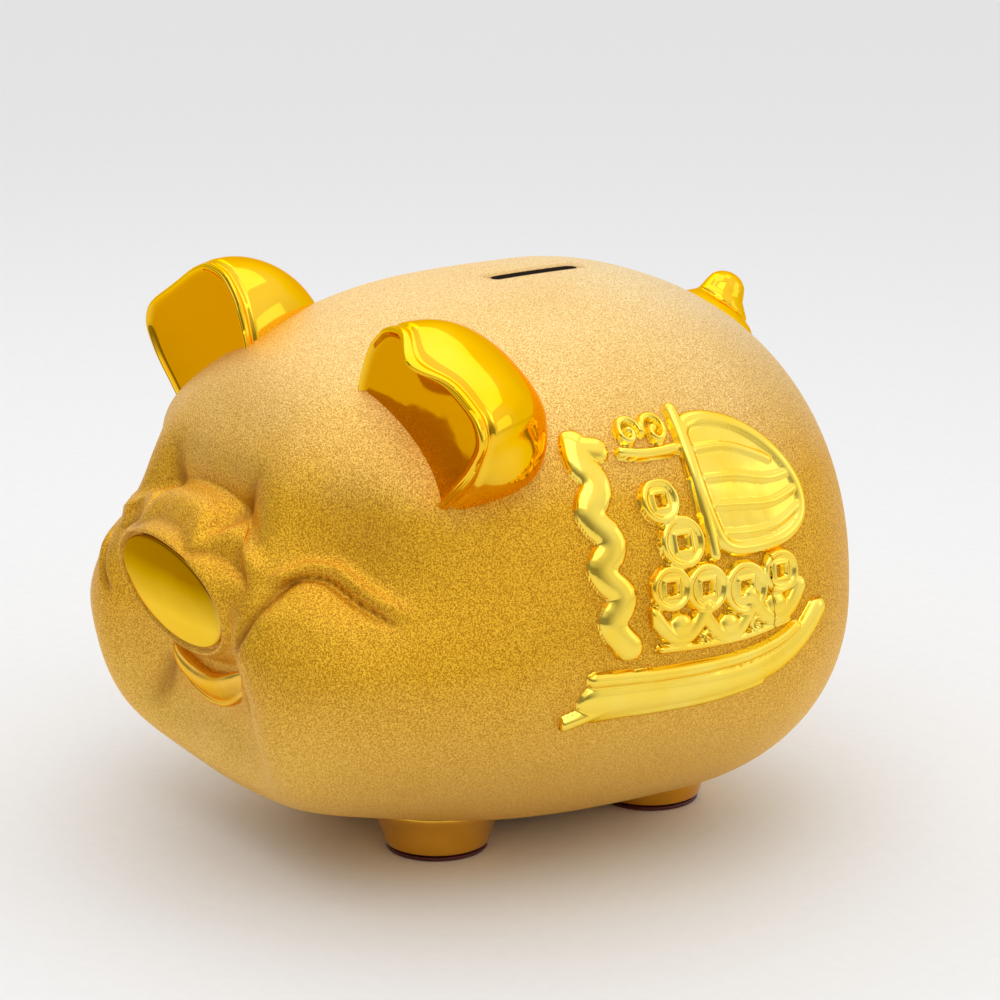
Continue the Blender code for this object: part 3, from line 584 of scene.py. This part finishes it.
# Ornament. Sprigs pressed in a carved mould and luted to each flank: a treasure boat with an upturned stern, a wavy
# pennant, a curved sail, and its cargo of square-holed coins, ingots and scrolls. Mirror-gold lustre.
sprig_gold, place, shader = finish_named("sprig_gold")
pools, brush = noise(place, 60, 2, 0.5), noise(place, 400, 2, 0.5)
lustre = pools.between(0.35, 0.65).mix((1.0, 0.69, 0.07, 1), (1.0, 0.77, 0.13, 1))
feed(shader, place, {"Base Color": lustre, "Roughness": brush.between(0.3, 0.7, 0.10, 0.17),
                     "Normal": relief_of(place, pools, 0.0006, 0.35)}, Metallic=1.0, Specular_Tint=(1.0, 0.72, 0.25, 1))


def eased(line):
    """A line with its corners cut twice, each pass putting two points a quarter of the way in from every stretch's ends."""
    line = np.array(line, float)
    for _ in range(2):
        cut_ = np.stack([0.75 * line[:-1] + 0.25 * line[1:], 0.25 * line[:-1] + 0.75 * line[1:]], 1).reshape(-1, 2)
        line = np.concatenate([line[:1], cut_[1:-1], line[-1:]])
    return line


def stroke(y, z, line, width, taper=0.0):
    """Height 0 to 1 of a rounded bar along a line: a half ellipse across it, thinner towards its end by taper."""
    d, u = to_line(y, z, eased(line))
    half = width / 2 * (1 - taper * u)
    return np.sqrt(np.clip(1 - (d / half) ** 2, 0, 1))


def coin(y, z, centre, radius):
    """A blank coin: a rounded rim, a lower field, and a square hole with a raised edge."""
    a, b = y * 1000 - centre[0], z * 1000 - centre[1]
    r, q = np.hypot(a, b), np.maximum(np.abs(a), np.abs(b))
    rim = np.sqrt(np.clip(1 - ((r - radius + 1.3) / 1.3) ** 2, 0, 1))
    field = 0.55 * (1 - step(radius - 1.2, radius - 0.6, r)) * step(0.24 * radius - 0.3, 0.24 * radius, q)
    edge = 0.85 * np.sqrt(np.clip(1 - ((q - 0.24 * radius - 0.7) / 0.8) ** 2, 0, 1))
    return np.maximum(np.maximum(rim, field), edge)


def ingot(y, z, centre, size):
    """A boat-shaped ingot: an upturned bar under a round dome."""
    a, b = y * 1000 - centre[0], z * 1000 - centre[1]
    bow = [(centre[0] + size * p, centre[1] + size * (0.9 * p * p - 0.25)) for p in np.linspace(-1, 1, 9)]
    keel = stroke(y, z, bow, size * 0.62)
    dome = np.sqrt(np.clip(1 - (a / (0.5 * size)) ** 2 - ((b - 0.12 * size) / (0.5 * size)) ** 2, 0, 1))
    return np.maximum(keel, dome)


def scroll(y, z, centre, size, hand=1):
    """A cloud curl: a bar wound into one and a quarter turns."""
    turns = np.linspace(0, 2.5 * pi, 26)
    arm = size * (1 - turns / 9.4)
    curl = np.stack([centre[0] + hand * arm * np.cos(turns), centre[1] + arm * np.sin(turns)], -1)
    return stroke(y, z, curl, size * 0.52)


def hull(y, z):
    toe = [(-30.5, 61.8), (-25, 63.5), (-17, 66.0)]
    keel = [(-21, 66.8), (-6, 67), (10, 66.5), (26, 66.8), (38, 69), (47, 73.5), (54, 79), (58.5, 84)]
    wale = [(-22, 74.3), (-14, 74), (0, 73), (18, 73), (32, 74), (42, 76.5), (49, 80)]
    foot = [(-26, 63.5), (-16, 63.5), (0, 63), (20, 63), (36, 65.5)]
    parts = [stroke(y, z, keel, 12.0, 0.45), stroke(y, z, toe, 4.5), 0.85 * stroke(y, z, wale, 5.0, 0.3)]
    return np.maximum.reduce(parts + [0.8 * stroke(y, z, foot, 4.5)])


def ribbon(y, z):
    wave = [(-11, 83), (-14.5, 87), (-16.2, 91), (-12.4, 95.5), (-11.9, 99), (-16.2, 103), (-17.5, 107), (-13.3, 111),
            (-12.9, 115), (-16.8, 119), (-17.6, 123), (-13.8, 127), (-13.3, 131), (-16.3, 135), (-15.3, 139)]
    return np.maximum.reduce([stroke(y, z, wave, 9.2), stroke(y, z, [(-15, 139), (-9.5, 138)], 6.5)])


def filled(y, z, outline, edge):
    """1 well inside a closed outline and 0 outside it, rising as a rounded step of the given width at the edge."""
    d, _ = to_line(y, z, outline)
    a, b = y * 1000, z * 1000
    inside = np.zeros(y.shape, bool)
    for (y0, z0), (y1, z1) in zip(outline[:-1], outline[1:]):
        crosses = (z0 > b) != (z1 > b)
        inside ^= crosses & (a < (y1 - y0) * (b - z0) / (z1 - z0 + 1e-12) + y0)
    rise = np.clip(np.abs(d) / edge, 0, 1)
    return inside * np.sqrt(rise * (2 - rise))


def sail(y, z):
    leaf = eased([(19, 139), (21, 142), (29, 142.5), (40, 139), (49, 131.5), (55, 121), (54, 112), (46, 107.3),
                  (35, 106), (24, 107), (20.5, 116), (19, 127), (19, 139)])
    panel = 0.50 * filled(y, z, leaf, 1.6)
    battens = [stroke(y, z, [(20.5, 112 + 7.6 * k), (32, 110.5 + 8.2 * k), (43, 111 + 6.6 * k),
                             (54 - 0.9 * k * k, 116 + 4.4 * k)], 3.2) for k in range(4)]
    hem = stroke(y, z, leaf, 4.6)
    mast = stroke(y, z, [(19, 145), (18.5, 134), (18.8, 120), (20, 106)], 4.4)
    cloud = [scroll(y, z, (1.5, 141), 4.0), scroll(y, z, (10.5, 140.8), 4.4, -1),
             stroke(y, z, [(-3, 136.6), (5, 135.4), (15, 136)], 3.2)]
    return np.maximum.reduce([panel, 0.82 * np.maximum.reduce(battens) * (panel > 0), hem, mast] + cloud)


def hoard(y, z):
    coins = [((4.6, 123.0), 6.6), ((9.4, 111.0), 7.8), ((3.6, 98.5), 7.0), ((16.0, 97.0), 7.6), ((43.2, 98.0), 6.8),
             ((30.0, 95.0), 8.2)]
    ingots = [((6.5, 85.5), 9.0), ((41, 86.5), 9.4), ((23.5, 83.5), 8.4)]
    scrolls = [((33.2, 83.5), 2.6), ((15, 82), 2.4)]
    shelf = [(-0.5, 80.9), (12, 80.2), (30, 80.2), (45, 83.0)]
    parts = [make(y, z, *at) for make, found in ((coin, coins), (ingot, ingots), (scroll, scrolls)) for at in found]
    return np.maximum.reduce(parts + [stroke(y, z, shelf, 2.6)])


SPRIG_STEP, SPRIG_LIFT, SPRIG_ROOT = 0.46, 0.0003, 0.0016


def on_flank(y, z):
    """The skin's grid places (s, t) whose points lie at (y, z) on the left flank, by Newton steps."""
    s, t = np.full(y.shape, radians(95)), np.full(y.shape, radians(75))
    for _ in range(9):
        here, ahead, beside = skin(s, t), skin(s + 1e-4, t), skin(s, t + 1e-4)
        a, b = (ahead - here)[..., 1:] / 1e-4, (beside - here)[..., 1:] / 1e-4
        miss = np.stack([y, z], -1) - here[..., 1:]
        det = a[..., 0] * b[..., 1] - a[..., 1] * b[..., 0]
        det = np.where(np.abs(det) < 1e-6, 1e-6, det)
        s = np.clip(s + np.clip((miss[..., 0] * b[..., 1] - miss[..., 1] * b[..., 0]) / det, -0.25, 0.25), 0.6, 2.6)
        t = np.clip(t + np.clip((a[..., 0] * miss[..., 1] - a[..., 1] * miss[..., 0]) / det, -0.25, 0.25), 0.3, 2.6)
    return skin(s, t)


def sprig(name, height_of, y_range, z_range, thick):
    """A raised mould-made piece on both flanks: the skin over a window, lifted where the drawing has height and let
    under the surface elsewhere, and closed behind."""
    along, up = [np.linspace(a, b, max(20, int((b - a) / SPRIG_STEP))) / 1000 for a, b in (y_range, z_range)]
    y, z = np.meshgrid(along, up, indexing="ij")
    base = on_flank(y, z)
    normal = outward(base, closed=False)
    normal *= np.sign(normal[..., :1])
    height = height_of(y, z)
    top = base + normal * np.where(height > 0, SPRIG_LIFT + (thick - SPRIG_LIFT) * height, -0.0006)[..., None]
    low = base - SPRIG_ROOT * normal
    rows, columns = y.shape
    points, start = np.concatenate([top.reshape(-1, 3), low.reshape(-1, 3)]), rows * columns
    edge = list(range(columns)) + [r * columns + columns - 1 for r in range(1, rows)]
    edge += [(rows - 1) * columns + c for c in range(columns - 2, -1, -1)]
    edge += [r * columns for r in range(rows - 2, 0, -1)]
    faces = grid_faces(rows, columns, False) + [f[::-1] for f in grid_faces(rows, columns, False, start)]
    faces += [[a, b, start + b, start + a] for a, b in zip(edge, edge[1:] + edge[:1])]
    for side, word in ((1, "left"), (-1, "right")):
        piece(f"{name}_{word}", points * np.array([side, 1, 1]), faces, sprig_gold, "polished_gold", "bank",
              (f"relief_{word}_{name}",))


sprig("hull", hull, (-31.5, 62.0), (58.0, 86.5), 0.0030)
sprig("ribbon", ribbon, (-23.0, -6.2), (79.5, 143.0), 0.0028)
sprig("sail", sail, (-5.5, 57.5), (103.0, 147.0), 0.0030)
sprig("hoard", hoard, (-3.5, 52.0), (78.4, 128.5), 0.0027)


# Stopper. A moulded black rubber plug: dished flange, grip bar and a bead that snaps past the rim of the belly hole.
rubber, place, shader = finish_named("stopper_rubber")
mould = noise(place, 900, 3, 0.6)
feed(shader, place, {"Base Color": mould.between(0.3, 0.7).mix((0.016, 0.016, 0.017, 1), (0.034, 0.033, 0.032, 1)),
                     "Roughness": mould.between(0.3, 0.7, 0.42, 0.60), "Normal": relief_of(place, mould, 0.00015, 0.35)})
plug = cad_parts["stopper"]
plug.data.materials.clear()
plug.data.materials.append(rubber)


# Floor. A seamless matt paper sheet, pale grey, with a weak sheen.
paper, place, shader = finish_named("paper")
fibre = noise(place, 220, 3, 0.6)
feed(shader, place, {"Base Color": fibre.between(0.3, 0.7).mix((0.80, 0.80, 0.805, 1), (0.82, 0.82, 0.82, 1))},
     Roughness=0.6, Specular_IOR_Level=0.12)
ring = np.linspace(0, 2 * pi, 96, endpoint=False)
radii = np.array([0.02, 0.2, 0.6, 1.5, 4.0, 9.0])[:, None, None]
disc = radii * np.stack([np.cos(ring), np.sin(ring), 0 * ring], -1)
floor_points = np.concatenate([disc.reshape(-1, 3), [[0, 0, 0]]])
floor_faces = grid_faces(len(radii), len(ring)) + [[c, (c + 1) % len(ring), disc.size // 3] for c in range(len(ring))]
floor = piece("floor", floor_points, floor_faces, paper, body="")
if floor.data.polygons[0].normal.z < 0:
    floor.data.flip_normals()


# Light. Weak soft boxes overhead, right, left and above the floor in front, in a plain bright studio whose wall on the
# pig's front side is dimmer.
def soft_box(name, place, aim, size, watts):
    light = bpy.data.lights.new(name, "AREA")
    light.shape, light.size, light.size_y, light.energy = "RECTANGLE", size[0], size[1], watts
    made = bpy.data.objects.new(name, light)
    made.location = place
    made.rotation_euler = (Vector(aim) - Vector(place)).to_track_quat("-Z", "Y").to_euler()
    bpy.context.scene.collection.objects.link(made)


soft_box("top_box", (-0.15, 0.15, 1.00), (0, 0, 0.05), (0.9, 0.7), 1.1)
soft_box("right_box", (0.75, 0.95, 0.50), (0, 0, 0.09), (0.6, 0.6), 0.5)
soft_box("front_box", (0.50, -0.45, 1.00), (0.22, -0.18, 0), (0.8, 0.8), 2.1)
soft_box("left_box", (-0.75, 0.00, 0.80), (0, -0.05, 0.13), (0.5, 0.5), 0.5)

world = bpy.data.worlds.new("studio")
bpy.context.scene.world = world
world.use_nodes = True
sky = Wire(world.node_tree)
direction = sky.node("ShaderNodeTexCoord", out=0)
up = direction.node("ShaderNodeSeparateXYZ", {0: direction}, 2)
toward = direction.node("ShaderNodeVectorMath", {0: direction, 1: (0.15, -0.99, 0.0)}, 1, operation="DOT_PRODUCT")
wall = toward.between(-0.20, 0.60, 0.85, 0.26)
level = up.between(0.28, 0.70, 0.0, 1.0)
glow = level.mix(wall.node("ShaderNodeCombineColor", {0: wall, 1: wall, 2: wall}), (1.0, 1.0, 1.0, 1))
seen = sky.node("ShaderNodeLightPath")
shown = seen.mix(glow, (0.80, 0.80, 0.81, 1))
background = world.node_tree.nodes["Background"]
world.node_tree.links.new(shown.socket, background.inputs["Color"])
background.inputs["Strength"].default_value = 1.04


# Camera. A long lens a little over a metre away, level with the top of the bank and looking 15 degrees down.
AZIMUTH, ELEVATION = radians(56.5), radians(15)
away = Vector((sin(AZIMUTH) * cos(ELEVATION), -cos(AZIMUTH) * cos(ELEVATION), sin(ELEVATION)))
right = Vector((cos(AZIMUTH), sin(AZIMUTH), 0))
over = away.cross(right)
camera = bpy.data.objects.new("camera", bpy.data.cameras.new("camera"))
camera.data.lens, camera.data.sensor_width, camera.data.clip_start = 121.97, 36, 0.05
turned = Matrix((right, over, away)).transposed().to_4x4()
turned.translation = Vector((0.87507, -0.56537, 0.38153))
camera.matrix_world = turned
bpy.context.scene.collection.objects.link(camera)
bpy.context.scene.camera = camera
bpy.context.scene.view_settings.view_transform = "Standard"
